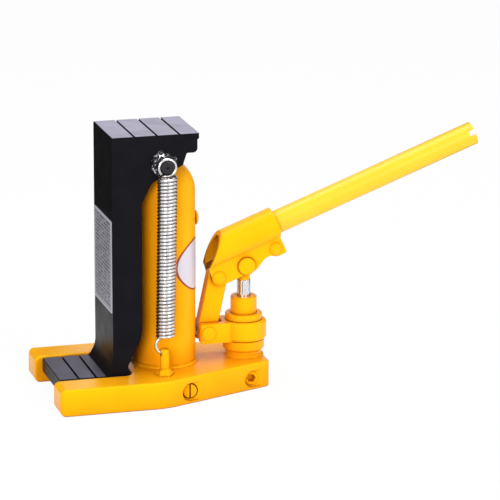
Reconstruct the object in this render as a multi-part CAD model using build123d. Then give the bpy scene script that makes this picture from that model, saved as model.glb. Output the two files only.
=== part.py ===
from build123d import *
import math
import os

# A hydraulic toe jack. The claw lifts a load on its head or, with the fork on the floor, on its toe.
# Millimetres. +X runs from the toe to the pump, +Y to the side without valves, +Z up.
# The origin is on the underside of the base, below the axis of the lifting cylinder.

# Clearances
running_gap = 0.08
press_gap = 0.03
loose_gap = 0.3

# Base plate
base_thickness = 25.0
base_half_width = 69.0
tine_tip_x = -112.0
taper_start_x = -14.0
rear_x = 92.0
rear_half_width = 27.5
taper_fillet = 60.0
rear_corner_fillet = 5.0
tine_corner_fillet = 5.0
fork_corner_fillet = 8.0
tine_nose_fillet = 5.5
tine_nose_trim = 0.4
base_rim_fillet = 1.8
fork_side_gap = 4.0
fork_throat_gap = 2.0

# Lifting cylinder
tube_radius = 28.5
tube_wall = 3.0
tube_seat_depth = 2.0
shoulder_z = 184.0
neck_z = 208.0
neck_radius = 17.2
foot_weld_leg = 2.5
bore_radius = 16.0
cylinder_wall = 6.0
cylinder_seat_z = 17.0
cylinder_top_z = 188.0
cylinder_washer_thickness = 1.0
gland_engagement = 18.0
gland_flange_radius = 17.0
gland_flange_height = 4.0
wiper_height = 3.0
wiper_width = 1.4
ram_radius = 14.0
piston_height = 20.0
piston_seal_height = 6.0
piston_seal_depth = 2.9
ram_rest_gap = 3.0

# Claw
claw_width = 70.0
claw_front_x = -56.0
claw_guide_gap = 0.5
guide_relief = 0.5
head_top_z = 243.0
head_thickness = 17.5
head_rear_x = 22.3
head_rear_fillet = 4.0
lip_height = 4.5
lip_overhang = 1.5
gusset_tip_x = 9.0
gusset_tip_z = 214.8
gusset_top_x = 12.5
gusset_heel_x = -20.0
gusset_heel_z = 199.5
gusset_fillet = 14.0
leg_sweep_top_z = 60.0
leg_sweep_foot_z = 32.0
claw_heel_x = -41.0
toe_tip_x = -105.7
toe_top_z = 24.5
toe_bottom_z = 1.0
toe_nose_z = 12.0
toe_nose_run = 9.0
toe_sweep_radius = 24.0
toe_sweep_height = 8.0
toe_sweep_x = -62.8
ram_socket_depth = 12.0
head_pocket_gap = 1.0
groove_width = 2.0
groove_depth = 1.6
head_groove_pitch = 20.6
head_groove_count = 3
first_head_groove_x = -35.5
toe_groove_pitch = 16.0
toe_groove_count = 2
first_toe_groove_x = -88.0

# Plates
plate_thickness = 0.6
spec_plate_width = 66.0
spec_plate_height = 85.0
spec_plate_bottom_z = 81.5
label_thickness = 0.3
label_centre_z = 117.7
label_half_angle = 57.0
label_half_height = 24.1
label_direction = -27.0

# Return springs
spring_y = 44.3
spring_radius = 9.02
spring_wire = 2.84
coil_turns = 46
coil_top_x = -7.7
coil_top_z = 207.0
coil_bottom_x = -9.9
coil_bottom_z = 60.2
wire_bend = 5.0
loop_turn = 318.0
pin_z = 215.3
pin_radius = 6.1
pin_sink = 4.0
pin_reach = 47.0
pin_dimple = 1.6
hook_x = -11.4
hook_z = 52.4
hook_turn = -180.0
hook_hole_radius = 2.5
peg_x = -10.9
peg_radius = 4.3
peg_top_z = 49.0
peg_weld = 2.7

# Pump
pump_x = 75.0
plunger_radius = 6.0
pump_body_radius = 12.0
pump_spigot_radius = 13.0
pump_spigot_z = 13.0
pump_foot_radius = 16.5
pump_foot_height = 6.0
pump_foot_weld = 2.0
pump_flange_radius = 18.9
pump_flange_top_z = 40.0
pump_top_z = 80.5
pump_floor = 3.0
pump_seal_low_z = 70.0
pump_seal_height = 6.0
pump_seal_radius = 8.5
ring_radius = 20.8
ring_height = 18.4
ring_edge_fillet = 3.0
collar_radius = 17.0
collar_height = 5.8
collar_fillet = 1.4
ear_end = 44.3
ear_half_width = 13.4
ear_corner_fillet = 3.0
ear_slot_start = 21.5
ear_slot_fillet = 2.0

# Lever linkage, placed from the pump axis
link_thickness = 12.0
link_end_radius = 9.0
link_pin_radius = 4.0
ear_pin_x = -36.3
ear_pin_z = 50.0
ear_pin_head_radius = 6.4
ear_pin_head_height = 0.8
lever_angle = 21.0
plunger_pin_z = 110.5
link_pin_offset = 27.5
clamp_offset = 31.1
clamp_row_drop = 20.0
pin_row_drop = 23.0
plunger_pin_radius = 5.0
plunger_pin_head_radius = 8.0
link_pin_play = 1.5
eye_radius = 10.5
eye_stem_length = 9.5
link_pin_head_radius = 6.8
clamp_rivet_radius = 3.5
clamp_rivet_head_radius = 6.4
rivet_head_height = 2.8
plunger_rest_z = 26.0

# Handle socket, folded from one sheet: a round bore above two plates
socket_bore = 11.6
socket_sheet = 3.6
socket_slot_half = link_thickness / 2 + loose_gap
socket_left = -37.0
socket_right = 40.5
socket_top_left = -8.5
socket_cheek_bottom = -30.6
socket_lobe_radius = 7.4
socket_lug_bottom = -27.2
socket_arch_bottom = -23.8
socket_fillet = 4.0
handle_radius = 10.65
handle_wall = 2.65
handle_start = 12.0
handle_end = 243.0
notch_width = 5.0
notch_depth = 5.5
notch_turn = 21.0

# Valves and plugs in the near side of the base
recess_depth = 3.9
recess_run = 40.0
release_x = 9.3
release_z = 11.2
release_head_radius = 6.3
release_head_sink = 2.5
release_head_rise = 0.6
release_recess_radius = 8.4
release_stem_radius = 4.5
release_stem_length = 27.0
release_tip_radius = 2.4
release_tip_length = 4.5
release_slot_width = 1.6
release_slot_depth = 1.5
release_ball_radius = 2.5
valve_chamber_radius = 3.0
seat_hole_radius = 1.2
relief_x = 73.7
relief_z = 10.4
relief_plug_radius = 6.2
relief_plug_rise = 0.5
relief_recess_radius = 7.6
relief_plug_length = 9.0
relief_bore_length = 9.0
relief_hex_flats = 7.0
relief_hex_depth = 5.0
relief_ball_radius = 2.8
relief_spring_wall = 0.8
recess_side_gap = 1.1
check_ball_radius = 2.7
check_chamber_radius = 3.0
delivery_z = 9.0
gallery_radius = 1.9
suction_z = 3.4
suction_radius = 1.2
gallery_plug_radius = 3.5
gallery_plug_length = 6.0

# Oil filler
filler_z = 156.9
filler_head_radius = 6.7
filler_head_height = 3.2
filler_shank_radius = 5.0
filler_shank_length = 7.0
filler_washer_thickness = 0.6

# Places that follow from the sizes above
cylinder_outer_radius = bore_radius + cylinder_wall
cylinder_bottom_z = cylinder_seat_z + cylinder_washer_thickness
ram_bottom_z = cylinder_seat_z + ram_rest_gap
pocket_radius = tube_radius + claw_guide_gap + guide_relief
leg_inner_x = -(tube_radius + claw_guide_gap)
gland_top_z = neck_z + gland_flange_height
pocket_top_z = gland_top_z + head_pocket_gap
ram_top_z = pocket_top_z + ram_socket_depth
fork_half_gap = claw_width / 2 + fork_side_gap
fork_throat_x = claw_heel_x + fork_throat_gap
reservoir_gap_radius = (cylinder_outer_radius + tube_radius - tube_wall) / 2
pump_foot_top_z = base_thickness + pump_foot_height
ring_bottom_z = pump_flange_top_z + loose_gap
ring_top_z = ring_bottom_z + ring_height
loop_radius = spring_radius - spring_wire / 2
side_slope = (base_half_width - rear_half_width) / (rear_x - taper_start_x)
release_flat_y = (release_x - taper_start_x) * side_slope - base_half_width + recess_depth
release_stem_end_y = release_flat_y + release_stem_length
release_seat_y = release_stem_end_y + release_tip_length + 2 * release_ball_radius
relief_flat_y = (relief_x - taper_start_x) * side_slope - base_half_width + recess_depth
relief_plug_end_y = relief_flat_y + relief_plug_length
relief_seat_y = relief_plug_end_y + relief_bore_length


def rounded_outline(corners):
    """Face with a corner at each (x, y, radius): tangent arcs, or a sharp corner where the radius is 0."""
    face = make_face(Polyline(*[(x, y) for x, y, radius in corners], close=True))
    for x, y, radius in corners:
        if radius > 0:
            face = fillet(face.vertices().sort_by_distance((x, y, 0))[0], radius)
    return face


def upright(radius, low, high):
    """Cylinder round the Z axis between two heights."""
    return Pos(0, 0, low) * Cylinder(radius, high - low, align=(Align.CENTER, Align.CENTER, Align.MIN))


def ring(inner, outer, low, high):
    """Ring round the Z axis between two heights."""
    return upright(outer, low, high) - upright(inner, low - 1, high + 1)


def across(radius, x, z, y_from, y_to):
    """Cylinder along Y at (x, z), from y_from to y_to."""
    start = Plane((x, y_from, z), x_dir=(1, 0, 0), z_dir=(0, 1 if y_to > y_from else -1, 0))
    return extrude(start * Circle(radius), abs(y_to - y_from))


def lengthwise(radius, z, x_from, x_to):
    """Cylinder along X at height z in the middle plane."""
    return extrude(Plane((x_from, 0, z), z_dir=(1, 0, 0)) * Circle(radius), x_to - x_from)


def turned(outline):
    """Solid of revolution from a face drawn as (radius, height)."""
    return revolve(Plane.XZ * outline, axis=Axis.Z)


def at_pump(solid):
    return Pos(pump_x, 0, 0) * solid


def mirrored_pair(solid):
    return Compound(children=[solid, mirror(solid, about=Plane.XZ)])


def side_recess(x, z, radius, flat_y):
    """Cutter for a flat milled into the tapered side: round at the front, running out to the rear."""
    cutter = rounded_outline([
        (x - radius, z - radius, radius * 0.98), (x + recess_run, z - radius, 0),
        (x + recess_run, z + radius, 0), (x - radius, z + radius, radius * 0.98)])
    return extrude(Plane((0, flat_y, 0), x_dir=(1, 0, 0), z_dir=(0, -1, 0)) * cutter, base_half_width)


def base_blank():
    cast_tip_x = tine_tip_x - tine_nose_trim
    plan = rounded_outline([
        (cast_tip_x, -base_half_width, tine_corner_fillet),
        (taper_start_x, -base_half_width, taper_fillet),
        (rear_x, -rear_half_width, rear_corner_fillet),
        (rear_x, rear_half_width, rear_corner_fillet),
        (taper_start_x, base_half_width, taper_fillet),
        (cast_tip_x, base_half_width, tine_corner_fillet),
        (cast_tip_x, fork_half_gap, 0),
        (fork_throat_x, fork_half_gap, fork_corner_fillet),
        (fork_throat_x, -fork_half_gap, fork_corner_fillet),
        (cast_tip_x, -fork_half_gap, 0)])
    elevation = rounded_outline([
        (tine_tip_x, 0, tine_nose_fillet), (rear_x + 1, 0, 0),
        (rear_x + 1, base_thickness, 0), (tine_tip_x, base_thickness, tine_nose_fillet)])
    blank = extrude(plan, base_thickness) & extrude(Plane.XZ * elevation, base_half_width + 1, both=True)
    rim = blank.faces().sort_by(Axis.Z)[-1].outer_wire().edges()
    rim = [edge for edge in rim if edge.bounding_box().max.X > tine_tip_x + tine_nose_fillet + 1]
    return fillet(rim, base_rim_fillet)


def release_bores():
    """Valve hole from the side, its seat, the way to the cylinder and the return to the reservoir."""
    return [
        across(release_head_radius + recess_side_gap, release_x, release_z,
               release_flat_y - 1, release_flat_y + release_head_sink + press_gap),
        across(release_stem_radius + press_gap, release_x, release_z, release_flat_y, release_stem_end_y),
        across(valve_chamber_radius, release_x, release_z, release_stem_end_y, release_seat_y),
        across(seat_hole_radius, release_x, release_z, release_seat_y, 0),
        Pos(release_x, 0, 0) * upright(seat_hole_radius, release_z, cylinder_seat_z + 1),
        Pos(release_x, -math.sqrt(reservoir_gap_radius ** 2 - release_x ** 2), 0)
        * upright(seat_hole_radius, release_z, base_thickness + 1)]


def relief_bores():
    return [
        across(relief_plug_radius + press_gap, relief_x, relief_z, relief_flat_y - 1, relief_plug_end_y),
        across(relief_ball_radius + loose_gap, relief_x, relief_z, relief_plug_end_y, relief_seat_y),
        across(seat_hole_radius, relief_x, relief_z, relief_seat_y, 0)]


def gallery_bores():
    """Delivery and suction ways between pump, cylinder and reservoir, drilled from the rear end."""
    plug_start = rear_x - gallery_plug_length
    delivery_seat_z = delivery_z + gallery_radius + 1
    return [
        lengthwise(gallery_radius, delivery_z, 0, rear_x + 1),
        lengthwise(gallery_plug_radius + press_gap, delivery_z, plug_start, rear_x + 1),
        upright(gallery_radius, delivery_z, delivery_seat_z + 1),
        upright(check_chamber_radius, delivery_seat_z, cylinder_seat_z + 1),
        lengthwise(suction_radius, suction_z, reservoir_gap_radius, pump_x),
        Pos(reservoir_gap_radius, 0, 0) * upright(suction_radius, suction_z, base_thickness + 1),
        at_pump(upright(suction_radius, suction_z, pump_spigot_z)),
        at_pump(upright(check_chamber_radius, suction_z + 2, pump_spigot_z + 1))]


def foot_weld():
    """Fillet weld round the foot of the reservoir tube."""
    inner = tube_radius + press_gap
    return turned(make_face(Polyline(
        (inner, base_thickness), (inner + foot_weld_leg, base_thickness),
        (inner, base_thickness + foot_weld_leg), close=True)))


def base_casting():
    casting = base_blank() + foot_weld()
    casting -= ring(tube_radius - tube_wall - press_gap, tube_radius + press_gap,
                    base_thickness - tube_seat_depth, base_thickness + 1)
    casting -= upright(cylinder_outer_radius + press_gap, cylinder_seat_z, base_thickness + 1)
    casting -= at_pump(upright(pump_spigot_radius + press_gap, pump_spigot_z, base_thickness + 1))
    casting -= side_recess(release_x, release_z, release_recess_radius, release_flat_y)
    casting -= side_recess(relief_x, relief_z, relief_recess_radius, relief_flat_y)
    for bore in release_bores() + relief_bores() + gallery_bores():
        casting -= bore
    return casting


def reservoir_tube():
    inner = tube_radius - tube_wall
    opening = bore_radius + running_gap
    foot_z = base_thickness - tube_seat_depth
    shoulder = TangentArc((tube_radius, shoulder_z), (neck_radius, neck_z), tangent=(0, 1))
    hollow = TangentArc((inner, shoulder_z), (opening, neck_z - tube_wall * 1.5), tangent=(0, 1))
    wall = make_face([
        Line((inner, foot_z), (tube_radius, foot_z)), Line((tube_radius, foot_z), (tube_radius, shoulder_z)),
        shoulder, Line((neck_radius, neck_z), (opening, neck_z)), Line((opening, neck_z), hollow @ 1),
        hollow, Line((inner, shoulder_z), (inner, foot_z))])
    return turned(wall) - lengthwise(filler_shank_radius + press_gap, filler_z, inner - 2, tube_radius + 2)


def pressure_cylinder():
    return ring(bore_radius, cylinder_outer_radius, cylinder_bottom_z, cylinder_top_z)


def cylinder_washer():
    return ring(bore_radius, cylinder_outer_radius, cylinder_seat_z, cylinder_bottom_z)


def gland_nut():
    nut = upright(bore_radius - press_gap, cylinder_top_z - gland_engagement, neck_z)
    nut += upright(gland_flange_radius, neck_z, gland_top_z)
    nut -= upright(ram_radius + running_gap, 0, gland_top_z + 1)
    return nut - upright(ram_radius + loose_gap + wiper_width, gland_top_z - wiper_height, gland_top_z + 1)


def rod_wiper():
    return ring(ram_radius + loose_gap, ram_radius + loose_gap + wiper_width - press_gap,
                gland_top_z - wiper_height, gland_top_z)


def seal_low_z():
    return ram_bottom_z + (piston_height - piston_seal_height) / 2


def ram():
    piston = upright(bore_radius - running_gap, ram_bottom_z, ram_bottom_z + piston_height)
    piston -= ring(bore_radius - piston_seal_depth, bore_radius + 1, seal_low_z(), seal_low_z() + piston_seal_height)
    return piston + upright(ram_radius, ram_bottom_z + piston_height, ram_top_z)


def ram_seal():
    return ring(bore_radius - piston_seal_depth + press_gap, bore_radius - loose_gap,
                seal_low_z() + press_gap, seal_low_z() + piston_seal_height - press_gap)


def claw_profile():
    """Side view of the forging: grooved head, gusset over the shoulder, leg and toe."""
    head_under_z = head_top_z - head_thickness
    return rounded_outline([
        (claw_front_x, head_top_z, 1.0),
        (head_rear_x + lip_overhang, head_top_z, 0),
        (head_rear_x + lip_overhang, head_top_z - lip_height, 0),
        (head_rear_x, head_top_z - lip_height - lip_overhang, 0),
        (head_rear_x, head_under_z, head_rear_fillet),
        (gusset_top_x, head_under_z, 1.5),
        (gusset_tip_x, gusset_tip_z, 1.0),
        (gusset_heel_x, gusset_heel_z, 8.0),
        (leg_inner_x, gusset_heel_z + 2 * leg_inner_x - 2 * gusset_heel_x, gusset_fillet),
        (leg_inner_x, leg_sweep_top_z, 30.0),
        (claw_heel_x - 1.5, leg_sweep_foot_z, 3.0),
        (claw_heel_x, leg_sweep_foot_z - 5, 2.0),
        (claw_heel_x, toe_bottom_z, 1.0),
        (toe_tip_x + toe_nose_run, toe_bottom_z, 3.0),
        (toe_tip_x, toe_nose_z, 1.0),
        (toe_tip_x, toe_top_z, 0.8),
        (toe_sweep_x, toe_top_z, 1.5),
        (claw_front_x, toe_top_z + toe_sweep_height, toe_sweep_radius),
    ])


def groove(x, top_z):
    return Pos(x, 0, top_z) * Box(groove_width, claw_width + 2, 2 * groove_depth)


def claw():
    forging = extrude(Plane.XZ * claw_profile(), claw_width / 2, both=True)
    forging -= upright(pocket_radius, 0, pocket_top_z)
    forging -= upright(ram_radius + press_gap, pocket_top_z, ram_top_z)
    for number in range(head_groove_count):
        forging -= groove(first_head_groove_x + number * head_groove_pitch, head_top_z)
    for number in range(toe_groove_count):
        forging -= groove(first_toe_groove_x + number * toe_groove_pitch, toe_top_z)
    for side in (-1, 1):
        face_y = side * claw_width / 2
        forging -= across(pin_radius + press_gap, coil_top_x, pin_z, face_y + side, face_y - side * pin_sink)
    return forging


def spec_plate():
    outline = rounded_outline([
        (side_y * spec_plate_width / 2, spec_plate_bottom_z + top * spec_plate_height, 2.0)
        for side_y, top in ((-1, 0), (1, 0), (1, 1), (-1, 1))])
    return extrude(Plane((claw_front_x, 0, 0), x_dir=(0, -1, 0), z_dir=(-1, 0, 0)) * outline, plate_thickness)


def reservoir_label():
    """Blank oval sheet bent round the tube."""
    oval = Ellipse(tube_radius * math.sin(math.radians(label_half_angle)), label_half_height)
    turn = math.radians(label_direction)
    facing = Plane((0, 0, label_centre_z), x_dir=(-math.sin(turn), math.cos(turn), 0),
                   z_dir=(math.cos(turn), math.sin(turn), 0))
    sheet = ring(tube_radius + press_gap, tube_radius + label_thickness, shoulder_z / 4, shoulder_z)
    return sheet & extrude(facing * oval, tube_radius + 2)


def spring_pin():
    """Stub welded into the near face of the claw, with a lathe centre in its end."""
    pin = across(pin_radius, coil_top_x, pin_z, pin_sink - claw_width / 2, -pin_reach)
    pin = chamfer(pin.edges().sort_by(Axis.Y)[0], 0.8)
    dimple = Plane((coil_top_x, -pin_reach, pin_z), z_dir=(0, 1, 0)) * Cone(
        pin_dimple, 0.1, pin_dimple, align=(Align.CENTER, Align.CENTER, Align.MIN))
    return pin - dimple


def spring_peg():
    profile = make_face(Polyline(
        (0, base_thickness), (peg_radius + peg_weld, base_thickness), (peg_radius, base_thickness + peg_weld),
        (peg_radius, peg_top_z - 0.8), (peg_radius - 0.8, peg_top_z), (0, peg_top_z), close=True))
    peg = Pos(peg_x, -spring_y, 0) * turned(profile)
    hook_hole = Plane((peg_x - peg_radius - 1, -spring_y, hook_z - loop_radius), z_dir=(1, 0, 0))
    return peg - extrude(hook_hole * Circle(hook_hole_radius), 2 * peg_radius + 2)


def bent_wire(path):
    """Round wire along a path."""
    return sweep(Plane(path @ 0, z_dir=path % 0) * Circle(spring_wire / 2), path=path, is_frenet=True)


def wire_arc(x, z, start, turn):
    """Arc of the wire's middle line in the spring's upright plane."""
    facing = Plane((x, -spring_y, z), x_dir=(1, 0, 0), z_dir=(0, -1, 0))
    return facing * CenterArc((0, 0), loop_radius, start, turn)


def joining_bend(before, after):
    """Curve that leads from the end of one run of wire into the start of the next."""
    leaving = before @ 1 + (before % 1) * wire_bend
    arriving = after @ 0 - (after % 0) * wire_bend
    return Bezier(before @ 1, leaving, arriving, after @ 0)


def return_spring():
    """Close coil of round wire, with a loop round the pin above and a hook in the peg below."""
    low = Vector(coil_bottom_x, -spring_y, coil_bottom_z)
    rise = Vector(coil_top_x, -spring_y, coil_top_z) - low
    along = Plane(low, x_dir=(0, 1, 0), z_dir=rise)
    coil = along.location * Helix(rise.length / coil_turns, rise.length, loop_radius)
    loop = wire_arc(coil_top_x, pin_z, -90, loop_turn)
    hook = wire_arc(hook_x, hook_z, -90, hook_turn)
    hook_low = hook @ 0
    tail = Line(hook_low + Vector(peg_radius - 1, 0, 0), hook_low)
    runs = [tail, hook, joining_bend(hook, coil), coil, joining_bend(coil, loop), loop]
    wire = bent_wire(runs[0])
    for run in runs[1:]:
        wire += bent_wire(run)
    return wire


def pump_body():
    """Pump barrel: spigot in the base, welded foot, flange under the swivel ring and plain neck."""
    foot = make_face(Polyline(
        (0, base_thickness), (pump_foot_radius + pump_foot_weld, base_thickness),
        (pump_foot_radius, base_thickness + pump_foot_weld), (pump_foot_radius, pump_foot_top_z),
        (pump_flange_radius - 1, pump_foot_top_z), (pump_flange_radius, pump_foot_top_z + 1),
        (pump_flange_radius, pump_flange_top_z), (0, pump_flange_top_z), close=True))
    body = turned(foot) + upright(pump_spigot_radius, pump_spigot_z, base_thickness)
    body += upright(pump_body_radius, pump_flange_top_z, pump_top_z)
    body = chamfer(body.edges().filter_by(GeomType.CIRCLE).sort_by(Axis.Z)[-1], 1.0)
    body -= upright(plunger_radius + running_gap, pump_spigot_z + pump_floor, pump_top_z + 1)
    body -= upright(pump_seal_radius, pump_seal_low_z, pump_seal_low_z + pump_seal_height)
    body -= upright(gallery_radius, 0, pump_top_z)
    return at_pump(body)


def pump_seal():
    return at_pump(ring(plunger_radius + loose_gap, pump_seal_radius - press_gap,
                        pump_seal_low_z + press_gap, pump_seal_low_z + pump_seal_height - press_gap))


def retaining_collar():
    """Flat ring pressed on the barrel above the swivel ring, with a rounded upper edge."""
    low = ring_top_z + loose_gap
    collar = ring(pump_body_radius + press_gap, collar_radius, low, low + collar_height)
    rim = collar.edges().filter_by(GeomType.CIRCLE).group_by(Axis.Z)[-1].sort_by(SortBy.RADIUS)[-1]
    return at_pump(fillet(rim, collar_fillet))


def swivel_ring():
    """Ring that turns round the pump barrel, with two ears that hold the link."""
    body = upright(ring_radius, ring_bottom_z, ring_top_z)
    body = fillet(body.edges().filter_by(GeomType.CIRCLE), ring_edge_fillet)
    side = rounded_outline([
        (-ear_end, ring_bottom_z, ear_corner_fillet), (0, ring_bottom_z, 0),
        (0, ring_top_z, 0), (-ear_end, ring_top_z, ear_corner_fillet / 2)])
    plan = rounded_outline([
        (-ear_end, -ear_half_width, ear_corner_fillet), (0, -ear_half_width, 0),
        (0, ear_half_width, 0), (-ear_end, ear_half_width, ear_corner_fillet)])
    ears = extrude(Plane.XZ * side, ear_half_width, both=True) & extrude(plan, pump_top_z)
    body += ears
    body -= upright(pump_body_radius + running_gap, 0, pump_top_z)
    slot = rounded_outline([
        (-ear_end - 1, -socket_slot_half, 0), (-ear_slot_start, -socket_slot_half, ear_slot_fillet),
        (-ear_slot_start, socket_slot_half, ear_slot_fillet), (-ear_end - 1, socket_slot_half, 0)])
    body -= extrude(slot, pump_top_z)
    hole = across(link_pin_radius + press_gap, ear_pin_x, ear_pin_z, -ear_half_width - 1, ear_half_width + 1)
    return at_pump(body - hole)


def lever_point(along, above):
    """(x, z) from the pump axis of a point given along and above the handle axis."""
    turn = math.radians(lever_angle)
    drop = above + pin_row_drop
    return (along * math.cos(turn) - drop * math.sin(turn),
            plunger_pin_z + along * math.sin(turn) + drop * math.cos(turn))


def link_pin_place():
    return lever_point(-link_pin_offset, -pin_row_drop)


def lever_side_plane(y):
    """Plane across the lever: X along the handle, Y above it, normal towards -Y."""
    turn = math.radians(lever_angle)
    x, z = lever_point(0, 0)
    return Plane((pump_x + x, y, z), x_dir=(math.cos(turn), 0, math.sin(turn)), z_dir=(0, -1, 0))


def lever_section_plane(along):
    """Plane square to the handle axis: X along +Y, Y above the handle."""
    turn = math.radians(lever_angle)
    x, z = lever_point(along, 0)
    return Plane((pump_x + x, 0, z), x_dir=(0, 1, 0), z_dir=(math.cos(turn), 0, math.sin(turn)))


def link():
    """Flat bar between the ears and the lever, with play round the lever's pin."""
    top_x, top_z = link_pin_place()
    reach = Vector(top_x - ear_pin_x, top_z - ear_pin_z)
    slope = math.degrees(math.atan2(reach.Y, reach.X))
    middle = Pos((top_x + ear_pin_x) / 2, (top_z + ear_pin_z) / 2) * Rot(0, 0, slope)
    outline = middle * SlotCenterToCenter(reach.length, 2 * link_end_radius)
    bar = extrude(Plane.XZ * outline, link_thickness / 2, both=True)
    for x, z, play in ((ear_pin_x, ear_pin_z, running_gap), (top_x, top_z, link_pin_play)):
        bar -= across(link_pin_radius + play, x, z, -link_thickness, link_thickness)
    return at_pump(chamfer(bar.edges().filter_by(GeomType.LINE).filter_by(Plane.XZ), 0.6))


def ear_pin():
    pin = across(link_pin_radius, ear_pin_x, ear_pin_z, -ear_half_width, ear_half_width)
    for side in (-1, 1):
        pin += across(ear_pin_head_radius, ear_pin_x, ear_pin_z, side * ear_half_width,
                      side * (ear_half_width + ear_pin_head_height))
    return at_pump(pin)


def socket_section():
    """Keyhole section of the folded sheet: round bore above a slot between two plates."""
    half = socket_slot_half + socket_sheet
    deep = -2 * socket_cheek_bottom
    outer = Circle(socket_bore + socket_sheet) + Rectangle(2 * half, deep, align=(Align.CENTER, Align.MAX))
    waist = [v for v in outer.vertices() if -socket_bore * 1.5 < v.Y < -1 and abs(v.X) < half + 1]
    outer = fillet(waist, socket_fillet)
    inner = Circle(socket_bore) + Rectangle(2 * socket_slot_half, deep + 2, align=(Align.CENTER, Align.MAX))
    return outer - inner


def socket_outline():
    """Side view of the lever: slanted left end, pin lobes below and square mouth on the right."""
    top = socket_bore + socket_sheet + 1
    low = socket_cheek_bottom
    return rounded_outline([
        (socket_top_left, top, 0),
        (socket_left + 4, -10.2, 2.0),
        (socket_left + 2.5, low, socket_lobe_radius),
        (7.0, low, 10.0),
        (18.5, socket_arch_bottom, 8.0),
        (24.0, socket_arch_bottom, 4.0),
        (30.0, socket_lug_bottom, 6.0),
        (socket_right - 1, socket_lug_bottom, 2.0),
        (socket_right - 2, -12.0, 4.0),
        (socket_right, -4.0, 4.0),
        (socket_right, top, 0)])


def handle_socket():
    fold = extrude(lever_section_plane(socket_left - 4) * socket_section(), socket_right - socket_left + 8)
    fold &= extrude(lever_side_plane(0) * socket_outline(), 2 * socket_bore, both=True)
    pins = (
        (-link_pin_offset, pin_row_drop, link_pin_radius), (0, pin_row_drop, plunger_pin_radius),
        (clamp_offset, clamp_row_drop, clamp_rivet_radius))
    for along, drop, radius in pins:
        x, z = lever_point(along, -drop)
        fold -= across(radius + press_gap, pump_x + x, z, -2 * socket_bore, 2 * socket_bore)
    return fold


def headed_pin(along, drop, radius, head_radius, dome):
    """Pin through both plates of the socket, with a flat or domed head on each side."""
    x, z = lever_point(along, -drop)
    face = socket_slot_half + socket_sheet
    half = [(0, 0), (radius, 0), (radius, face), (head_radius, face)]
    if dome:
        top = face + rivet_head_height
        crown = TangentArc((0, top), (head_radius, face), tangent=(1, 0))
        half_section = make_face([Polyline(*half), crown, Line((0, top), (0, 0))])
    else:
        rim = face + rivet_head_height
        half_section = make_face(Polyline(*half, (head_radius, rim - 1), (head_radius - 1, rim), (0, rim), close=True))
    stud = turned(half_section)
    stud += mirror(stud, about=Plane.XY)
    return Plane((pump_x + x, 0, z), z_dir=(0, -1, 0)) * stud


def plunger():
    rod_top = plunger_pin_z - eye_radius - eye_stem_length + 5
    rod = upright(plunger_radius, plunger_rest_z, rod_top)
    return at_pump(chamfer(rod.edges().filter_by(GeomType.CIRCLE).sort_by(Axis.Z)[0], 0.8))


def plunger_eye():
    """Eye on top of the plunger, flat between the plates."""
    low = plunger_pin_z - eye_radius - eye_stem_length + 5
    eye = across(eye_radius, 0, plunger_pin_z, -link_thickness / 2, link_thickness / 2)
    eye += upright(plunger_radius - 0.4, low, plunger_pin_z - plunger_pin_radius - 2)
    hole = plunger_pin_radius + running_gap
    return at_pump(eye - across(hole, 0, plunger_pin_z, -link_thickness, link_thickness))


def handle_tube():
    pipe = Circle(handle_radius) - Circle(handle_radius - handle_wall)
    tube = extrude(lever_section_plane(handle_start) * pipe, handle_end - handle_start)
    end = lever_section_plane(handle_end - notch_depth)
    notch = Rot(0, 0, -notch_turn) * Rectangle(4 * handle_radius, notch_width)
    return tube - extrude(end * notch, 2 * notch_depth)


def release_valve():
    """Slotted screw in a counterbore, whose tip presses the ball on its seat."""
    head_y = release_flat_y - release_head_rise
    tip_y = release_stem_end_y + release_tip_length
    screw = across(release_head_radius, release_x, release_z, head_y, release_flat_y + release_head_sink)
    screw += across(release_stem_radius, release_x, release_z, release_flat_y, release_stem_end_y)
    screw += across(release_tip_radius, release_x, release_z, release_stem_end_y, tip_y)
    slot = Pos(release_x, head_y, release_z) * Box(
        release_slot_width, 2 * release_slot_depth, 3 * release_head_radius)
    return screw - slot


def ball(radius, x, y, z):
    return Pos(x, y, z) * Sphere(radius)


def seated(ball_radius, hole_radius):
    """Distance from a seat's edge to the centre of the ball that lies on it."""
    return math.sqrt(ball_radius ** 2 - hole_radius ** 2)


def release_ball():
    back = seated(release_ball_radius, seat_hole_radius)
    return ball(release_ball_radius, release_x, release_seat_y - back, release_z)


def relief_ball():
    back = seated(relief_ball_radius, seat_hole_radius)
    return ball(relief_ball_radius, relief_x, relief_seat_y - back, relief_z)


def relief_spring():
    start = relief_plug_end_y
    outer = relief_ball_radius
    end = relief_seat_y - seated(outer, seat_hole_radius) - seated(outer, outer - relief_spring_wall)
    sleeve = across(outer, relief_x, relief_z, start, end - press_gap)
    return sleeve - across(outer - relief_spring_wall, relief_x, relief_z, start - 1, end + 1)


def relief_plug():
    outer_y = relief_flat_y - relief_plug_rise
    plug = across(relief_plug_radius, relief_x, relief_z, outer_y, relief_plug_end_y)
    hexagon = RegularPolygon(relief_hex_flats / 2, 6, major_radius=False)
    outside = Plane((relief_x, outer_y, relief_z), x_dir=(1, 0, 0), z_dir=(0, -1, 0))
    return plug - extrude(outside * hexagon, -relief_hex_depth)


def check_balls():
    delivery_seat_z = delivery_z + gallery_radius + 1
    return Compound(children=[
        ball(check_ball_radius, 0, 0, delivery_seat_z + seated(check_ball_radius, gallery_radius)),
        ball(check_ball_radius, pump_x, 0, suction_z + 2 + seated(check_ball_radius, suction_radius))])


def gallery_plug():
    return lengthwise(gallery_plug_radius, delivery_z, rear_x - gallery_plug_length, rear_x - 0.5)


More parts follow.
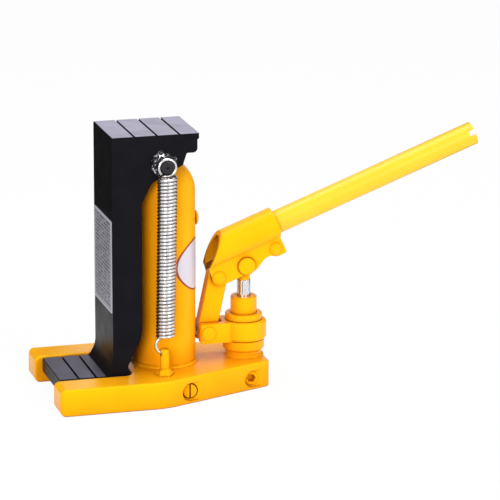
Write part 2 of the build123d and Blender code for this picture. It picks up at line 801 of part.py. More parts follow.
def filler_plug():
    seat = tube_radius + filler_washer_thickness
    rim = (filler_head_radius, filler_head_height / 3)
    crown = TangentArc((0, filler_head_height), rim, tangent=(1, 0))
    head = make_face([Polyline((0, filler_head_height), (0, 0), (filler_head_radius, 0), rim), crown])
    outward = Plane((seat, 0, filler_z), z_dir=(1, 0, 0))
    return outward * turned(head) + extrude(outward * Circle(filler_shank_radius), -filler_shank_length)


def filler_washer():
    outward = Plane((tube_radius, 0, filler_z), z_dir=(1, 0, 0))
    rim = Circle(filler_head_radius - 0.3) - Circle(filler_shank_radius + press_gap)
    return extrude(outward * rim, filler_washer_thickness)


nodes = {
    "base_casting": base_casting(),
    "reservoir_tube": reservoir_tube(),
    "pressure_cylinder": pressure_cylinder(),
    "cylinder_washer": cylinder_washer(),
    "gland_nut": gland_nut(),
    "rod_wiper": rod_wiper(),
    "filler_plug": filler_plug(),
    "filler_washer": filler_washer(),
    "reservoir_label": reservoir_label(),
    "spring_pegs": mirrored_pair(spring_peg()),
    "pump_body": pump_body(),
    "pump_seal": pump_seal(),
    "retaining_collar": retaining_collar(),
    "release_valve": release_valve(),
    "release_ball": release_ball(),
    "relief_plug": relief_plug(),
    "relief_spring": relief_spring(),
    "relief_ball": relief_ball(),
    "check_balls": check_balls(),
    "gallery_plug": gallery_plug(),
    "claw": claw(),
    "ram": ram(),
    "ram_seal": ram_seal(),
    "spec_plate": spec_plate(),
    "spring_pins": mirrored_pair(spring_pin()),
    "return_spring_near": return_spring(),
    "return_spring_far": Pos(0, 2 * spring_y, 0) * return_spring(),
    "swivel_ring": swivel_ring(),
    "ear_pin": ear_pin(),
    "link": link(),
    "link_pin": headed_pin(-link_pin_offset, pin_row_drop, link_pin_radius, link_pin_head_radius, True),
    "handle_socket": handle_socket(),
    "plunger": plunger(),
    "plunger_eye": plunger_eye(),
    "plunger_pin": headed_pin(0, pin_row_drop, plunger_pin_radius, plunger_pin_head_radius, False),
    "clamp_rivet": headed_pin(clamp_offset, clamp_row_drop, clamp_rivet_radius, clamp_rivet_head_radius, True),
    "handle_tube": handle_tube(),
}

os.makedirs("parts", exist_ok=True)
for name, solid in nodes.items():
    export_step(solid, "parts/" + name + ".step")
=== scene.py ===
import math
from collections import namedtuple

import bmesh
import bpy
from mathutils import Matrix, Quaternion, Vector, geometry, noise


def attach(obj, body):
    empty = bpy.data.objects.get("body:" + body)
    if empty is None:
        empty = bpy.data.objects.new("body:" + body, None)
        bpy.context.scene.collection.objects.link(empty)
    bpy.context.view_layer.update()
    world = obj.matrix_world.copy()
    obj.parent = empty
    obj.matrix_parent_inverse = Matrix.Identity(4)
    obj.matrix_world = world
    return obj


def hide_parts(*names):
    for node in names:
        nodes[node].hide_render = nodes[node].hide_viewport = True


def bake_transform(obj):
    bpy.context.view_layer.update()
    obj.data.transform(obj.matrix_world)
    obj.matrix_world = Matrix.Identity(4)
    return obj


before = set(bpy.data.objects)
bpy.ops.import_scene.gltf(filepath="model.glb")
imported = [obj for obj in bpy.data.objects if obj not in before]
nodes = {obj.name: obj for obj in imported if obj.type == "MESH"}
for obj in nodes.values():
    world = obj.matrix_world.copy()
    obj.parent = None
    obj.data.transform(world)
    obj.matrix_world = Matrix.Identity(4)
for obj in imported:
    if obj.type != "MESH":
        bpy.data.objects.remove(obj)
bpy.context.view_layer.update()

# Metres, in the frame of the part. Names ending in _deg are angles in degrees.
to_pump = Vector((1, 0, 0))
to_far_side = Vector((0, 1, 0))
up = Vector((0, 0, 1))

# Camera, at the place from which the photograph was taken
camera_azimuth_deg = -15.94
camera_elevation_deg = 15.1
camera_roll_deg = 0.17
camera_distance = 3.006
camera_target = Vector((0.0810, 0.0, 0.1224))
camera_lens_mm = 237.8
camera_sight = 60.0

# Return springs
spring_y = 0.0443
wire_radius = 0.00142
loop_radius = 0.0076
coil_turns = 46
coil_bottom = Vector((-0.0099, 0.0, 0.0602))
coil_top = Vector((-0.0077, 0.0, 0.2070))
pin_centre = Vector((-0.0077, 0.0, 0.2153))
hook_centre = Vector((-0.0114, 0.0, 0.0524))
hook_tail = 0.0033
wire_bend = 0.0050
below_deg = -90.0
hook_turn_deg = -180.0
loop_turn_deg = 318.0
steps_per_turn = 28
hook_steps = 24
loop_steps = 40
bend_steps = 14
wire_sides = 10

# Weld round each upper pin: its bead is thick towards the top and the toe, and thin opposite
claw_face_y = 0.035
pin_weld_radius = 0.0088
pin_weld_bead = 0.0030
pin_weld_off_face = 0.0006
pin_weld_ripples = 9
pin_weld_ripple_depth = 0.13
pin_weld_heavy_deg = 45.0
pin_weld_heaviness = 0.5
pin_weld_lumps = 0.35
pin_weld_lump_scale = 2.3
pin_weld_place_scale = 40.0
pin_weld_steps_per_ripple = 6
pin_weld_sides = 12

# Fillets of weld at the foot of the spring pegs and of the tube
base_top = 0.025
peg_foot = Vector((-0.0109, 0.0, base_top))
peg_radius = 0.0043
peg_weld_leg = 0.0043
peg_weld_height = 0.0058
peg_weld_lumps = 0.5
tube_radius = 0.0285
tube_weld_leg = 0.0026
tube_weld_height = 0.0027
tube_weld_lumps = 0.9
foot_weld_coarse_lumps = 260.0
foot_weld_fine_lumps = 620.0
foot_weld_fine_share = 0.5
foot_weld_steps = 120
foot_weld_rows = 6
foot_weld_sink = 0.0004
foot_weld_end_power = 4

# Level tops of the claw's head and toe, the grooved faces that carry the load
head_top = 0.2430
toe_top = 0.0245
top_face_band = 0.0007
level_facing = 0.93

# Plate on the claw's front; margins are shares of its width and height
plate_low = Vector((-0.0566, -0.0330, 0.0815))
plate_size = Vector((0.0, 0.0660, 0.0850))
plate_frame_margins = (0.04, 0.02)
plate_print_margins = (0.08, 0.04)
plate_rules = 25.0
plate_rule_gap = 0.55
plate_breaks = Vector((1.0, 200.0, 294.0))
plate_break_from = 0.44
plate_print_tone = 0.9

# Label on the tube
label_height = 0.1177
label_half_height = 0.0241
label_direction_deg = -27.0
label_half_angle_deg = 57.0
label_band_from = 0.94

# Lamps: place, width and watts. Each one faces lamp_target.
lamp_target = Vector((0.02, 0.0, 0.12))
lamps = {
    "key": (Vector((1.2, -2.5, 1.3)), 1.2, 36.0),
    "fill": (Vector((-1.3, -2.2, 0.8)), 1.2, 40.0),
    "top": (Vector((0.1, 0.2, 2.4)), 1.6, 36.0),
}

# Dark cards: the two ends of the foot, the height of the top edge, and how far that edge leans over
card_foot = 0.001
cards = {
    "card_left": (Vector((-0.50, 0.02)), Vector((0.00, 0.40)), 0.8, Vector((0.0, 0.0))),
    "card_right": (Vector((0.42, 0.06)), Vector((0.26, 0.30)), 0.8, Vector((0.0, 0.0))),
    "card_front": (Vector((-0.115, -0.235)), Vector((-0.065, -0.250)), 1.6, Vector((-0.20, -0.70))),
}

# Floor and background
floor_reach = 9.0
floor_roughness = 0.9
floor_gloss_level = 0.1
floor_own_white = 0.94
background_seen = 1.0
background_light = 0.40

# Colours, linear
orange = (0.98, 0.445, 0.004, 1.0)
# The shade colours are the deeper tone of mottling and the painted shade in hollows; the hollow colours
# are the darker painted shade in joints and inside
orange_shade = (0.60, 0.150, 0.002, 1.0)
orange_hollow_shade = (0.085, 0.018, 0.001, 1.0)
orange_gloss = (1.0, 0.58, 0.04, 1.0)
yellow = (0.84, 0.505, 0.024, 1.0)
yellow_shade = (0.78, 0.42, 0.02, 1.0)
yellow_hollow_shade = (0.20, 0.09, 0.004, 1.0)
yellow_gloss = (1.0, 0.95, 0.60, 1.0)
black = (0.0046, 0.0044, 0.0070, 1.0)
black_shade = (0.0034, 0.0032, 0.0050, 1.0)
pin_black = (0.016, 0.013, 0.017, 1.0)
head_top_grey = (0.32, 0.305, 0.40, 1.0)
toe_top_grey = (0.105, 0.099, 0.130, 1.0)
# Painted glints: the bright metal of the weld's random patches
weld_glint_metal = (0.80, 0.82, 0.92, 1.0)
zinc = (0.80, 0.79, 0.79, 1.0)
zinc_shade = (0.55, 0.54, 0.55, 1.0)
chrome_bright = (0.86, 0.86, 0.89, 1.0)
chrome_shade = (0.62, 0.62, 0.64, 1.0)
steel_grey = (0.42, 0.41, 0.42, 1.0)
steel_shade = (0.25, 0.24, 0.25, 1.0)
copper = (0.72, 0.36, 0.20, 1.0)
copper_shade = (0.5, 0.22, 0.12, 1.0)
plate_grey = (0.29, 0.29, 0.335, 1.0)
plate_line = (0.44, 0.44, 0.50, 1.0)
plate_dark = (0.022, 0.022, 0.028, 1.0)
label_white = (0.64, 0.61, 0.68, 1.0)
label_cloud = (0.62, 0.60, 0.72, 1.0)
label_red = (0.36, 0.035, 0.012, 1.0)
rubber_black = (0.015, 0.015, 0.015, 1.0)
rubber_grey = (0.03, 0.03, 0.03, 1.0)
floor_pale = (0.86, 0.86, 0.86, 1.0)
card_dark = (0.06, 0.055, 0.05, 1.0)
white = (1.0, 1.0, 1.0, 1.0)

# Paints: colour, deeper tone for mottling and painted shade in hollows, colour of the darker painted
# shade in joints and inside, and tint of the gloss
orange_tones = (orange, orange_shade, orange_hollow_shade, orange_gloss)
yellow_tones = (yellow, yellow_shade, yellow_hollow_shade, yellow_gloss)
pin_tones = (pin_black, black, black, white)

# Noise: cells to the metre, detail, and the two noise values that become the ends of its range
Pattern = namedtuple("Pattern", "per_metre detail low high")
paint_mottle = Pattern(28.0, 5.0, 0.40, 0.75)
paint_grain = Pattern(90.0, 3.0, 0.3, 0.7)
claw_top_mottle = Pattern(60.0, 8.0, 0.25, 0.6)
claw_tone = Pattern(60.0, 6.0, 0.35, 0.7)
claw_grain = Pattern(70.0, 6.0, 0.3, 0.7)
weld_glint_patches = Pattern(360.0, 4.0, 0.56, 0.61)
plate_grain = Pattern(50.0, 3.0, 0.3, 0.7)
film_cloud = Pattern(40.0, 3.0, 0.3, 0.7)
film_grain = Pattern(80.0, 3.0, 0.3, 0.7)
rubber_dust = Pattern(120.0, 5.0, 0.4, 0.7)

# Lowest and highest roughness; for paint and bare metal, as shares of the roughness that each one gives
paint_grain_shares = (0.85, 1.2)
metal_grain_shares = (0.7, 1.3)
claw_roughness = (0.34, 0.42)
weld_roughness = (0.12, 0.30)
plate_roughness = (0.38, 0.55)
film_roughness = (0.25, 0.38)
rubber_roughness = (0.55, 0.75)

# How strongly a plain surface mirrors, from 0 to 1
orange_level = 0.28
yellow_level = 0.35
pin_level = 0.25
claw_level = 0.07
weld_level = 0.3

# Bare metal: the values of its marks between which its colour and its roughness change
marks_tone_range = (0.35, 0.7)
marks_grain_range = (0.3, 0.7)

# How much of a pattern shows: its range on the claw's grey tops, and its most in the film's clouds
claw_top_mottle_shares = (0.75, 1.0)
film_cloud_tone = 0.12

# Paint: how far off the painted shade in its hollows, inside the socket and along its joints reaches, and
# how dark it gets at most
mottle_tone = 0.16
hollow_shade_reach = 0.030
hollow_shade_tone = 0.6
inside_shade_reach = 0.022
inside_from = 0.25
inside_to = 0.75
joint_shade_reach = 0.003
joint_shade_tone = 0.9

# Shading that all materials share
bevel_samples = 4
crevice_samples = 6
crevice_full = 0.35


def on_side(point, side):
    """The same point on the spring's plane, near (-1) or far (1)."""
    return Vector((point.x, side * spring_y, point.z))


# Material helpers

def new_material(name):
    material = bpy.data.materials.new(name)
    material.use_nodes = True
    tree = material.node_tree
    return material, tree, tree.nodes["Principled BSDF"]


def add(tree, kind, inputs=None, **settings):
    """Adds a node; an input given as a socket is linked, anything else is set."""
    node = tree.nodes.new(kind)
    for name, value in settings.items():
        setattr(node, name, value)
    for key, value in (inputs or {}).items():
        if isinstance(value, bpy.types.NodeSocket):
            tree.links.new(value, node.inputs[key])
        else:
            node.inputs[key].default_value = value
    return node


def math_node(tree, operation, first, second=0.0):
    return add(tree, "ShaderNodeMath", {0: first, 1: second}, operation=operation).outputs[0]


def product(tree, first, second):
    return math_node(tree, "MULTIPLY", first, second)


def above(tree, value, limit):
    """1 where the value is over the limit, 0 elsewhere."""
    return math_node(tree, "GREATER_THAN", value, limit)


def inside_band(tree, value, low, high):
    return product(tree, above(tree, value, low), math_node(tree, "LESS_THAN", value, high))


def mixed(tree, factor, first, second):
    return add(tree, "ShaderNodeMix", {0: factor, 6: first, 7: second}, data_type="RGBA").outputs[2]


def spread(tree, value, low, high, to_low, to_high):
    """The value, with low to high stretched to to_low to to_high."""
    inputs = {"Value": value, "From Min": low, "From Max": high, "To Min": to_low, "To Max": to_high}
    return add(tree, "ShaderNodeMapRange", inputs).outputs["Result"]


def place(tree):
    """The point on the surface, in the part's own frame."""
    return add(tree, "ShaderNodeTexCoord").outputs["Object"]


def axis_of(tree, vector):
    return add(tree, "ShaderNodeSeparateXYZ", {0: vector})


def noise_at(tree, per_metre, detail, where=None):
    inputs = {"Vector": where or place(tree), "Scale": per_metre, "Detail": detail}
    return add(tree, "ShaderNodeTexNoise", inputs).outputs["Fac"]


def patterned(tree, pattern, to_low=0.0, to_high=1.0):
    value = noise_at(tree, pattern.per_metre, pattern.detail)
    return spread(tree, value, pattern.low, pattern.high, to_low, to_high)


def crevice(tree, distance):
    """0 in the open, towards 1 where surfaces meet; it masks the paint's painted shade."""
    shade = add(tree, "ShaderNodeAmbientOcclusion", {"Distance": distance}, samples=crevice_samples)
    return spread(tree, shade.outputs["AO"], crevice_full, 1.0, 1.0, 0.0)


def relief(tree, height, distance, strength, edge_radius):
    """Normal with a fine texture, as if each edge were broken with this radius."""
    soft_edges = add(tree, "ShaderNodeBevel", {"Radius": edge_radius}, samples=bevel_samples)
    inputs = {"Height": height, "Distance": distance, "Strength": strength,
              "Normal": soft_edges.outputs["Normal"]}
    return add(tree, "ShaderNodeBump", inputs).outputs["Normal"]


def connect(tree, shader, colour, roughness, normal):
    tree.links.new(colour, shader.inputs["Base Color"])
    tree.links.new(roughness, shader.inputs["Roughness"])
    tree.links.new(normal, shader.inputs["Normal"])


# Finishes

def paint(name, tones, roughness, level, joint_shade_from=0.35, edge_radius=0.0007, inside_shade_tone=0.0):
    """Sprayed enamel: orange peel, slight mottling, and painted shade in hollows and along joint lines.
    """
    colour, shade, hollow_shade, gloss = tones
    material, tree, shader = new_material(name)
    toned = mixed(tree, patterned(tree, paint_mottle, 0.0, mottle_tone), colour, shade)
    # Painted shade: a deeper tone where hollows occlude the surface
    toned = mixed(tree, product(tree, crevice(tree, hollow_shade_reach), hollow_shade_tone), toned, shade)
    # Painted shade inside the socket, darker still, by occlusion over a wider reach
    if inside_shade_tone > 0.0:
        inside = spread(tree, crevice(tree, inside_shade_reach), inside_from, inside_to, 0.0, inside_shade_tone)
        toned = mixed(tree, inside, toned, hollow_shade)
    # Painted shade: near black-brown in narrow joints and gaps, where surfaces meet
    joint_shade = spread(tree, crevice(tree, joint_shade_reach), joint_shade_from, 1.0, 0.0, joint_shade_tone)
    toned = mixed(tree, joint_shade, toned, hollow_shade)
    grain = patterned(tree, paint_grain, *(roughness * share for share in paint_grain_shares))
    peel = noise_at(tree, per_metre=420.0, detail=2.0)
    normal = relief(tree, peel, distance=0.0004, strength=0.15, edge_radius=edge_radius)
    connect(tree, shader, toned, grain, normal)
    shader.inputs["Specular IOR Level"].default_value = level
    shader.inputs["Specular Tint"].default_value = gloss
    return material


def metal(name, colour, shade, roughness, per_metre=160.0, strength=0.15, glancing=1.0):
    """Bare metal with fine marks of its making; glancing dims what it mirrors at its edges."""
    material, tree, shader = new_material(name)
    marks = noise_at(tree, per_metre, detail=6.0)
    toned = mixed(tree, spread(tree, marks, *marks_tone_range, 0.0, 1.0), colour, shade)
    grain = spread(tree, marks, *marks_grain_range, *(roughness * share for share in metal_grain_shares))
    normal = relief(tree, marks, distance=0.0002, strength=strength, edge_radius=0.0003)
    connect(tree, shader, toned, grain, normal)
    shader.inputs["Metallic"].default_value = 1.0
    shader.inputs["Specular Tint"].default_value = (glancing, glancing, glancing, 1.0)
    return material


def claw_finish():
    """Satin black enamel, lighter grey with patches on the upward faces of the head and toe, the two
    grooved faces that carry the load.
    """
    material, tree, shader = new_material("claw_black_enamel")
    height = axis_of(tree, place(tree)).outputs["Z"]
    facing = axis_of(tree, add(tree, "ShaderNodeTexCoord").outputs["Normal"]).outputs["Z"]
    level = above(tree, facing, level_facing)
    top_mottle = patterned(tree, claw_top_mottle, *claw_top_mottle_shares)
    on_head = above(tree, height, head_top - top_face_band)
    on_toe = inside_band(tree, height, toe_top - top_face_band, toe_top + top_face_band)
    toned = mixed(tree, patterned(tree, claw_tone), black, black_shade)
    # Lighter grey, patchy, on the upward faces of the head's top and the toe's top
    toned = mixed(tree, product(tree, product(tree, on_head, level), top_mottle), toned, head_top_grey)
    toned = mixed(tree, product(tree, product(tree, on_toe, level), top_mottle), toned, toe_top_grey)
    grain = patterned(tree, claw_grain, *claw_roughness)
    texture = noise_at(tree, per_metre=300.0, detail=4.0)
    normal = relief(tree, texture, distance=0.0004, strength=0.25, edge_radius=0.0009)
    connect(tree, shader, toned, grain, normal)
    shader.inputs["Specular IOR Level"].default_value = claw_level
    return material


def weld_finish():
    """Glossy black over rough weld, with random patches of bright bare metal as painted glints."""
    material, tree, shader = new_material("black_weld_with_painted_glints")
    # Painted glints: random patches of bright metal in the black
    bare = patterned(tree, weld_glint_patches)
    toned = mixed(tree, bare, black, weld_glint_metal)
    grain = spread(tree, bare, 0.0, 1.0, *weld_roughness)
    texture = noise_at(tree, per_metre=700.0, detail=4.0)
    normal = relief(tree, texture, distance=0.0006, strength=0.7, edge_radius=0.0002)
    connect(tree, shader, toned, grain, normal)
    tree.links.new(bare, shader.inputs["Metallic"])
    shader.inputs["Specular IOR Level"].default_value = weld_level
    return material


def plate_finish():
    """Grey printed plate: a pale frame round a block of broken ruled lines, with no words."""
    material, tree, shader = new_material("ruled_grey_plate")
    point = axis_of(tree, place(tree))
    across = spread(tree, point.outputs["Y"], plate_low.y, plate_low.y + plate_size.y, 0.0, 1.0)
    upward = spread(tree, point.outputs["Z"], plate_low.z, plate_low.z + plate_size.z, 0.0, 1.0)

    def within(margins):
        beside, over = margins
        return product(tree, inside_band(tree, across, beside, 1.0 - beside),
                       inside_band(tree, upward, over, 1.0 - over))

    phase = math_node(tree, "FRACT", product(tree, upward, plate_rules))
    rule = above(tree, phase, plate_rule_gap)
    stretched = add(tree, "ShaderNodeMapping", {"Vector": place(tree), "Scale": plate_breaks}).outputs[0]
    breaks = above(tree, noise_at(tree, per_metre=1.0, detail=1.0, where=stretched), plate_break_from)
    printed = product(tree, product(tree, rule, breaks), within(plate_print_margins))
    toned = mixed(tree, within(plate_frame_margins), plate_line, plate_grey)
    toned = mixed(tree, product(tree, printed, plate_print_tone), toned, plate_dark)
    grain = patterned(tree, plate_grain, *plate_roughness)
    normal = relief(tree, printed, distance=0.0001, strength=0.2, edge_radius=0.0002)
    connect(tree, shader, toned, grain, normal)
    return material


def label_finish():
    """White film with a red edge band, left blank inside."""
    material, tree, shader = new_material("blank_film_label")
    point = axis_of(tree, place(tree))
    angle = math_node(tree, "ARCTAN2", point.outputs["Y"], point.outputs["X"])
    turned = math_node(tree, "SUBTRACT", angle, math.radians(label_direction_deg))
    half_width = math.sin(math.radians(label_half_angle_deg))
    sideways = math_node(tree, "DIVIDE", math_node(tree, "SINE", turned), half_width)
    raised = math_node(tree, "SUBTRACT", point.outputs["Z"], label_height)
    upward = math_node(tree, "DIVIDE", raised, label_half_height)
    offset = add(tree, "ShaderNodeCombineXYZ", {"X": sideways, "Y": upward}).outputs[0]
    reach = add(tree, "ShaderNodeVectorMath", {0: offset}, operation="LENGTH").outputs["Value"]
    film = mixed(tree, patterned(tree, film_cloud, 0.0, film_cloud_tone), label_white, label_cloud)
    toned = mixed(tree, above(tree, reach, label_band_from), film, label_red)
    grain = patterned(tree, film_grain, *film_roughness)
    texture = noise_at(tree, per_metre=200.0, detail=3.0)
    normal = relief(tree, texture, distance=0.0001, strength=0.2, edge_radius=0.0001)
    connect(tree, shader, toned, grain, normal)
    return material


def rubber_finish():
    """Dull black rubber with a little dust on it."""
    material, tree, shader = new_material("seal_rubber")
    dust = patterned(tree, rubber_dust)
    toned = mixed(tree, dust, rubber_black, rubber_grey)
    grain = spread(tree, dust, 0.0, 1.0, *rubber_roughness)
    normal = relief(tree, dust, distance=0.0002, strength=0.3, edge_radius=0.0003)
    connect(tree, shader, toned, grain, normal)
    return material


# Mesh helpers

def finish_piece(name, mesh, material, body=None):
    piece = bpy.data.objects.new(name, mesh)
    bpy.context.collection.objects.link(piece)
    mesh.materials.append(material)
    for polygon in mesh.polygons:
        polygon.use_smooth = True
    if body:
        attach(piece, body)
    return piece


def finish_mesh(work, name):
    """Ends the work on a bmesh and gives it back as a mesh."""
    mesh = bpy.data.meshes.new(name)
    bmesh.ops.recalc_face_normals(work, faces=work.faces)
    work.to_mesh(mesh)
    work.free()
    return mesh


def swept_mesh(name, points, radii, sides, closed):
    """Round bar along the points; its frame is carried along so that it doesn't twist."""
    work = bmesh.new()
    count = len(points)
    rings = []
    side = None
    for index, point in enumerate(points):
        before = points[index - 1] if closed or index else point
        after = points[(index + 1) % count] if closed or index + 1 < count else point
        along = (after - before).normalized()
        start = side if side else along.orthogonal()
        side = (start - along * start.dot(along)).normalized()
        outward = along.cross(side)
        ring = []
        for step in range(sides):
            turn = 2.0 * math.pi * step / sides
            rim = (side * math.cos(turn) + outward * math.sin(turn)) * radii[index]
            ring.append(work.verts.new(point + rim))
        rings.append(ring)
    for index in range(count if closed else count - 1):
        near, far = rings[index], rings[(index + 1) % count]
        for step in range(sides):
            following = (step + 1) % sides
            work.faces.new((near[step], near[following], far[following], far[step]))
    if not closed:
        work.faces.new(reversed(rings[0]))
        work.faces.new(rings[-1])
    return finish_mesh(work, name)


def arc_from_below(centre, turn_deg, steps):
    """Points of the wire round a pin or in a peg, from straight below the centre."""
    points = []
    for step in range(steps + 1):
        angle = math.radians(below_deg + turn_deg * step / steps)
        points.append(centre + (to_pump * math.cos(angle) + up * math.sin(angle)) * loop_radius)
    return points


def joining_bend(before, after):
    """Curve from the end of one run of wire into the start of the next."""
    leaving = before[-1] + (before[-1] - before[-2]).normalized() * wire_bend
    arriving = after[0] - (after[1] - after[0]).normalized() * wire_bend
    return geometry.interpolate_bezier(before[-1], leaving, arriving, after[0], bend_steps)[1:-1]


# Pieces

def spring_points(side):
    """Wire from the tail in the peg, by the hook and the close coil, to the loop round the pin."""
    hook = on_side(hook_centre, side)
    tail = [hook - up * loop_radius + to_pump * hook_tail]
    hook_arc = arc_from_below(hook, hook_turn_deg, hook_steps)
    low, high = on_side(coil_bottom, side), on_side(coil_top, side)
    coil = []
    for step in range(coil_turns * steps_per_turn + 1):
        share = step / (coil_turns * steps_per_turn)
        angle = 2.0 * math.pi * step / steps_per_turn
        around = to_far_side * math.cos(angle) - to_pump * math.sin(angle)
        coil.append(low.lerp(high, share) + around * loop_radius)
    loop = arc_from_below(on_side(pin_centre, side), loop_turn_deg, loop_steps)
    return tail + hook_arc + joining_bend(hook_arc, coil) + coil + joining_bend(coil, loop) + loop


def return_spring(name, node, side, material):
    points = spring_points(side)
    mesh = swept_mesh(name, points, [wire_radius] * len(points), wire_sides, closed=False)
    piece = finish_piece(name, mesh, material)
    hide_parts(node)
    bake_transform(piece)


def pin_weld(name, side, material):
    """Bead of weld round an upper pin: even ripples, an uneven path and a heavy side."""
    centre = Vector((pin_centre.x, side * (claw_face_y + pin_weld_off_face), pin_centre.z))
    heavy_angle = math.radians(180.0 - side * pin_weld_heavy_deg)
    steps = pin_weld_ripples * pin_weld_steps_per_ripple
    points, radii = [], []
    for step in range(steps):
        angle = 2.0 * math.pi * step / steps
        direction = to_pump * math.cos(angle) + up * side * math.sin(angle)
        sample = direction * pin_weld_lump_scale + centre * pin_weld_place_scale
        lump = pin_weld_lumps * noise.noise(sample)
        heavy = 1.0 + pin_weld_heaviness * math.cos(angle - heavy_angle)
        ripple = 1.0 + pin_weld_ripple_depth * math.sin(pin_weld_ripples * angle)
        points.append(centre + direction * (pin_weld_radius + pin_weld_bead * lump))
        radii.append(pin_weld_bead * heavy * ripple * (1.0 + lump))
    mesh = swept_mesh(name, points, radii, pin_weld_sides, closed=True)
    finish_piece(name, mesh, material, "lifting_claw")


def foot_weld(name, foot, inner, leg, height, lumps, material, smooth_ends=False):
    """Fillet of weld round an upright bar, uneven all round, or only at its sides with smooth ends."""
    work = bmesh.new()
    rings = []
    for step in range(foot_weld_steps):
        angle = 2.0 * math.pi * step / foot_weld_steps
        direction = to_pump * math.cos(angle) + to_far_side * math.sin(angle)
        ring = [work.verts.new(foot + direction * (inner - foot_weld_sink) - up * foot_weld_sink)]
        for row in range(foot_weld_rows + 1):
            rise = row / foot_weld_rows
            sample = foot + direction * (inner + leg) + up * height * rise
            rough = lumps * math.sin(angle) ** foot_weld_end_power if smooth_ends else lumps
            coarse = noise.noise(sample * foot_weld_coarse_lumps)
            fine = foot_weld_fine_share * noise.noise(sample * foot_weld_fine_lumps)
            uneven = 1.0 + rough * coarse + rough * fine
            out = leg * (1.0 - rise) * uneven - foot_weld_sink * rise
            ring.append(work.verts.new(foot + direction * (inner + out) + up * height * rise * uneven))
        rings.append(ring)
    for ring, following in zip(rings, rings[1:] + rings[:1]):
        for index in range(len(ring)):
            after = (index + 1) % len(ring)
            work.faces.new((ring[index], following[index], following[after], ring[after]))
    finish_piece(name, finish_mesh(work, name), material, "base")


# What each CAD node is finished in

orange_enamel = paint("orange_enamel", orange_tones, roughness=0.28, level=orange_level)
welded_enamel = paint(
    "orange_enamel_over_welds", orange_tones, roughness=0.28, level=orange_level,
    joint_shade_from=0.82, edge_radius=0.0018)
# Orange enamel with dark brown painted shade inside the socket's mouth
socket_enamel = paint(
    "orange_enamel_painted_shade_inside", orange_tones, roughness=0.28, level=orange_level, inside_shade_tone=0.95)
yellow_enamel = paint("yellow_enamel", yellow_tones, roughness=0.26, level=yellow_level)
pin_enamel = paint("thin_black_over_steel", pin_tones, roughness=0.32, level=pin_level)
spring_wire = metal("bright_spring_wire", zinc, zinc_shade, roughness=0.22, strength=0.05)
hard_chrome = metal(
    "hard_chrome", chrome_bright, chrome_shade, roughness=0.07,
    per_metre=500.0, strength=0.05, glancing=0.12)
plain_steel = metal("plain_steel", steel_grey, steel_shade, roughness=0.38)
soft_copper = metal("copper_washer_metal", copper, copper_shade, roughness=0.3)

finishes = {
    welded_enamel: ("base_casting", "reservoir_tube", "spring_pegs", "filler_plug", "filler_washer"),
    orange_enamel: (
        "gland_nut", "pump_body", "retaining_collar", "swivel_ring", "ear_pin", "link",
        "link_pin", "plunger_pin", "clamp_rivet", "plunger_eye", "release_valve", "relief_plug"),
    socket_enamel: ("handle_socket",),
    yellow_enamel: ("handle_tube",),
    claw_finish(): ("claw",),
    pin_enamel: ("spring_pins",),
    hard_chrome: ("plunger", "ram"),
    plain_steel: (
        "release_ball", "relief_spring", "relief_ball", "check_balls", "gallery_plug",
        "pressure_cylinder"),
    soft_copper: ("cylinder_washer",),
    rubber_finish(): ("ram_seal", "rod_wiper", "pump_seal"),
    plate_finish(): ("spec_plate",),
    label_finish(): ("reservoir_label",),
}


def dress_nodes():
    for material, names in finishes.items():
        for name in names:
            mesh = nodes[name].data
            mesh.materials.clear()
            mesh.materials.append(material)


def make_pieces():
    weld_with_glints = weld_finish()
    for name, side in (("near", -1), ("far", 1)):
        return_spring("spring_coil_" + name, "return_spring_" + name, side, spring_wire)
        pin_weld("pin_weld_" + name, side, weld_with_glints)
        foot_weld("peg_weld_" + name, on_side(peg_foot, side), peg_radius, peg_weld_leg, peg_weld_height,
                  peg_weld_lumps, welded_enamel)
    foot_weld("tube_weld", up * base_top, tube_radius, tube_weld_leg, tube_weld_height,
              tube_weld_lumps, welded_enamel, smooth_ends=True)


# Stage

def seen_directly_or_mirrored(tree):
    """1 for what the camera sees, also in metal and glass, and 0 for light on the object."""
    path = add(tree, "ShaderNodeLightPath")
    seen = math_node(tree, "MAXIMUM", path.outputs["Is Camera Ray"], path.outputs["Is Transmission Ray"])
    return math_node(tree, "MAXIMUM", seen, path.outputs["Is Glossy Ray"])


def flat_panel(name, corners, material):
    """One four-cornered face that isn't part of the object."""
    mesh = bpy.data.meshes.new(name)
    mesh.from_pydata(corners, [], [(0, 1, 2, 3)])
    mesh.materials.append(material)
    panel = bpy.data.objects.new(name, mesh)
    bpy.context.collection.objects.link(panel)
    return panel


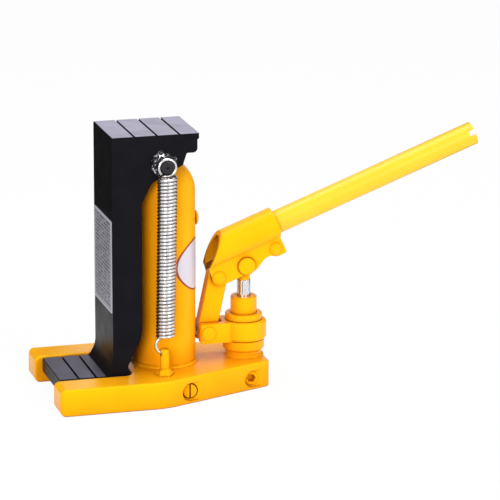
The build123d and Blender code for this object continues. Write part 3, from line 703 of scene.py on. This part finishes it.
def lay_floor():
    """Plain pale floor, mostly its own white, so that it meets the background and keeps a soft shadow."""
    material, tree, shader = new_material("pale_floor")
    shader.inputs["Base Color"].default_value = floor_pale
    shader.inputs["Roughness"].default_value = floor_roughness
    shader.inputs["Specular IOR Level"].default_value = floor_gloss_level
    glow = add(tree, "ShaderNodeEmission", {"Color": white, "Strength": background_seen})
    share = product(tree, seen_directly_or_mirrored(tree), floor_own_white)
    blend = add(tree, "ShaderNodeMixShader", {0: share, 1: shader.outputs[0], 2: glow.outputs[0]})
    tree.links.new(blend.outputs[0], tree.nodes["Material Output"].inputs["Surface"])
    low, high = -floor_reach, floor_reach
    flat_panel("floor", [(low, low, 0), (high, low, 0), (high, high, 0), (low, high, 0)], material)


def hang_lamps():
    for name, (position, width, watts) in lamps.items():
        data = bpy.data.lights.new(name, "AREA")
        data.shape = "SQUARE"
        data.size = width
        data.energy = watts
        lamp = bpy.data.objects.new(name, data)
        bpy.context.collection.objects.link(lamp)
        lamp.location = position
        lamp.rotation_mode = "QUATERNION"
        lamp.rotation_quaternion = (position - lamp_target).to_track_quat("Z", "Y")


def stand_cards():
    """Dark cards beside the object, seen only in reflections, so that bright metal has dark lines."""
    for name, (left, right, top, lean) in cards.items():
        material, _, shader = new_material(name)
        shader.inputs["Base Color"].default_value = card_dark
        shader.inputs["Specular IOR Level"].default_value = 0.0
        corners = [(*left, card_foot), (*right, card_foot), (*(right + lean), top), (*(left + lean), top)]
        card = flat_panel(name, corners, material)
        card.visible_camera = False
        card.visible_diffuse = False
        card.visible_shadow = False
        card.visible_transmission = False


def set_background():
    world = bpy.data.worlds.new("studio")
    world.use_nodes = True
    bpy.context.scene.world = world
    tree = world.node_tree
    strength = spread(tree, seen_directly_or_mirrored(tree), 0.0, 1.0, background_light, background_seen)
    tree.links.new(strength, tree.nodes["Background"].inputs["Strength"])
    tree.nodes["Background"].inputs["Color"].default_value = white


def set_camera():
    azimuth = math.radians(camera_azimuth_deg)
    elevation = math.radians(camera_elevation_deg)
    back = Vector((math.sin(azimuth) * math.cos(elevation), -math.cos(azimuth) * math.cos(elevation),
                   math.sin(elevation)))
    data = bpy.data.cameras.new("camera")
    data.lens = camera_lens_mm
    data.clip_end = camera_sight
    camera = bpy.data.objects.new("camera", data)
    bpy.context.collection.objects.link(camera)
    camera.location = camera_target + back * camera_distance
    camera.rotation_mode = "QUATERNION"
    roll = Quaternion((0.0, 0.0, 1.0), math.radians(camera_roll_deg))
    camera.rotation_quaternion = back.to_track_quat("Z", "Y") @ roll
    bpy.context.scene.camera = camera


dress_nodes()
make_pieces()
lay_floor()
hang_lamps()
stand_cards()
set_background()
set_camera()
bpy.context.scene.view_settings.view_transform = "Standard"
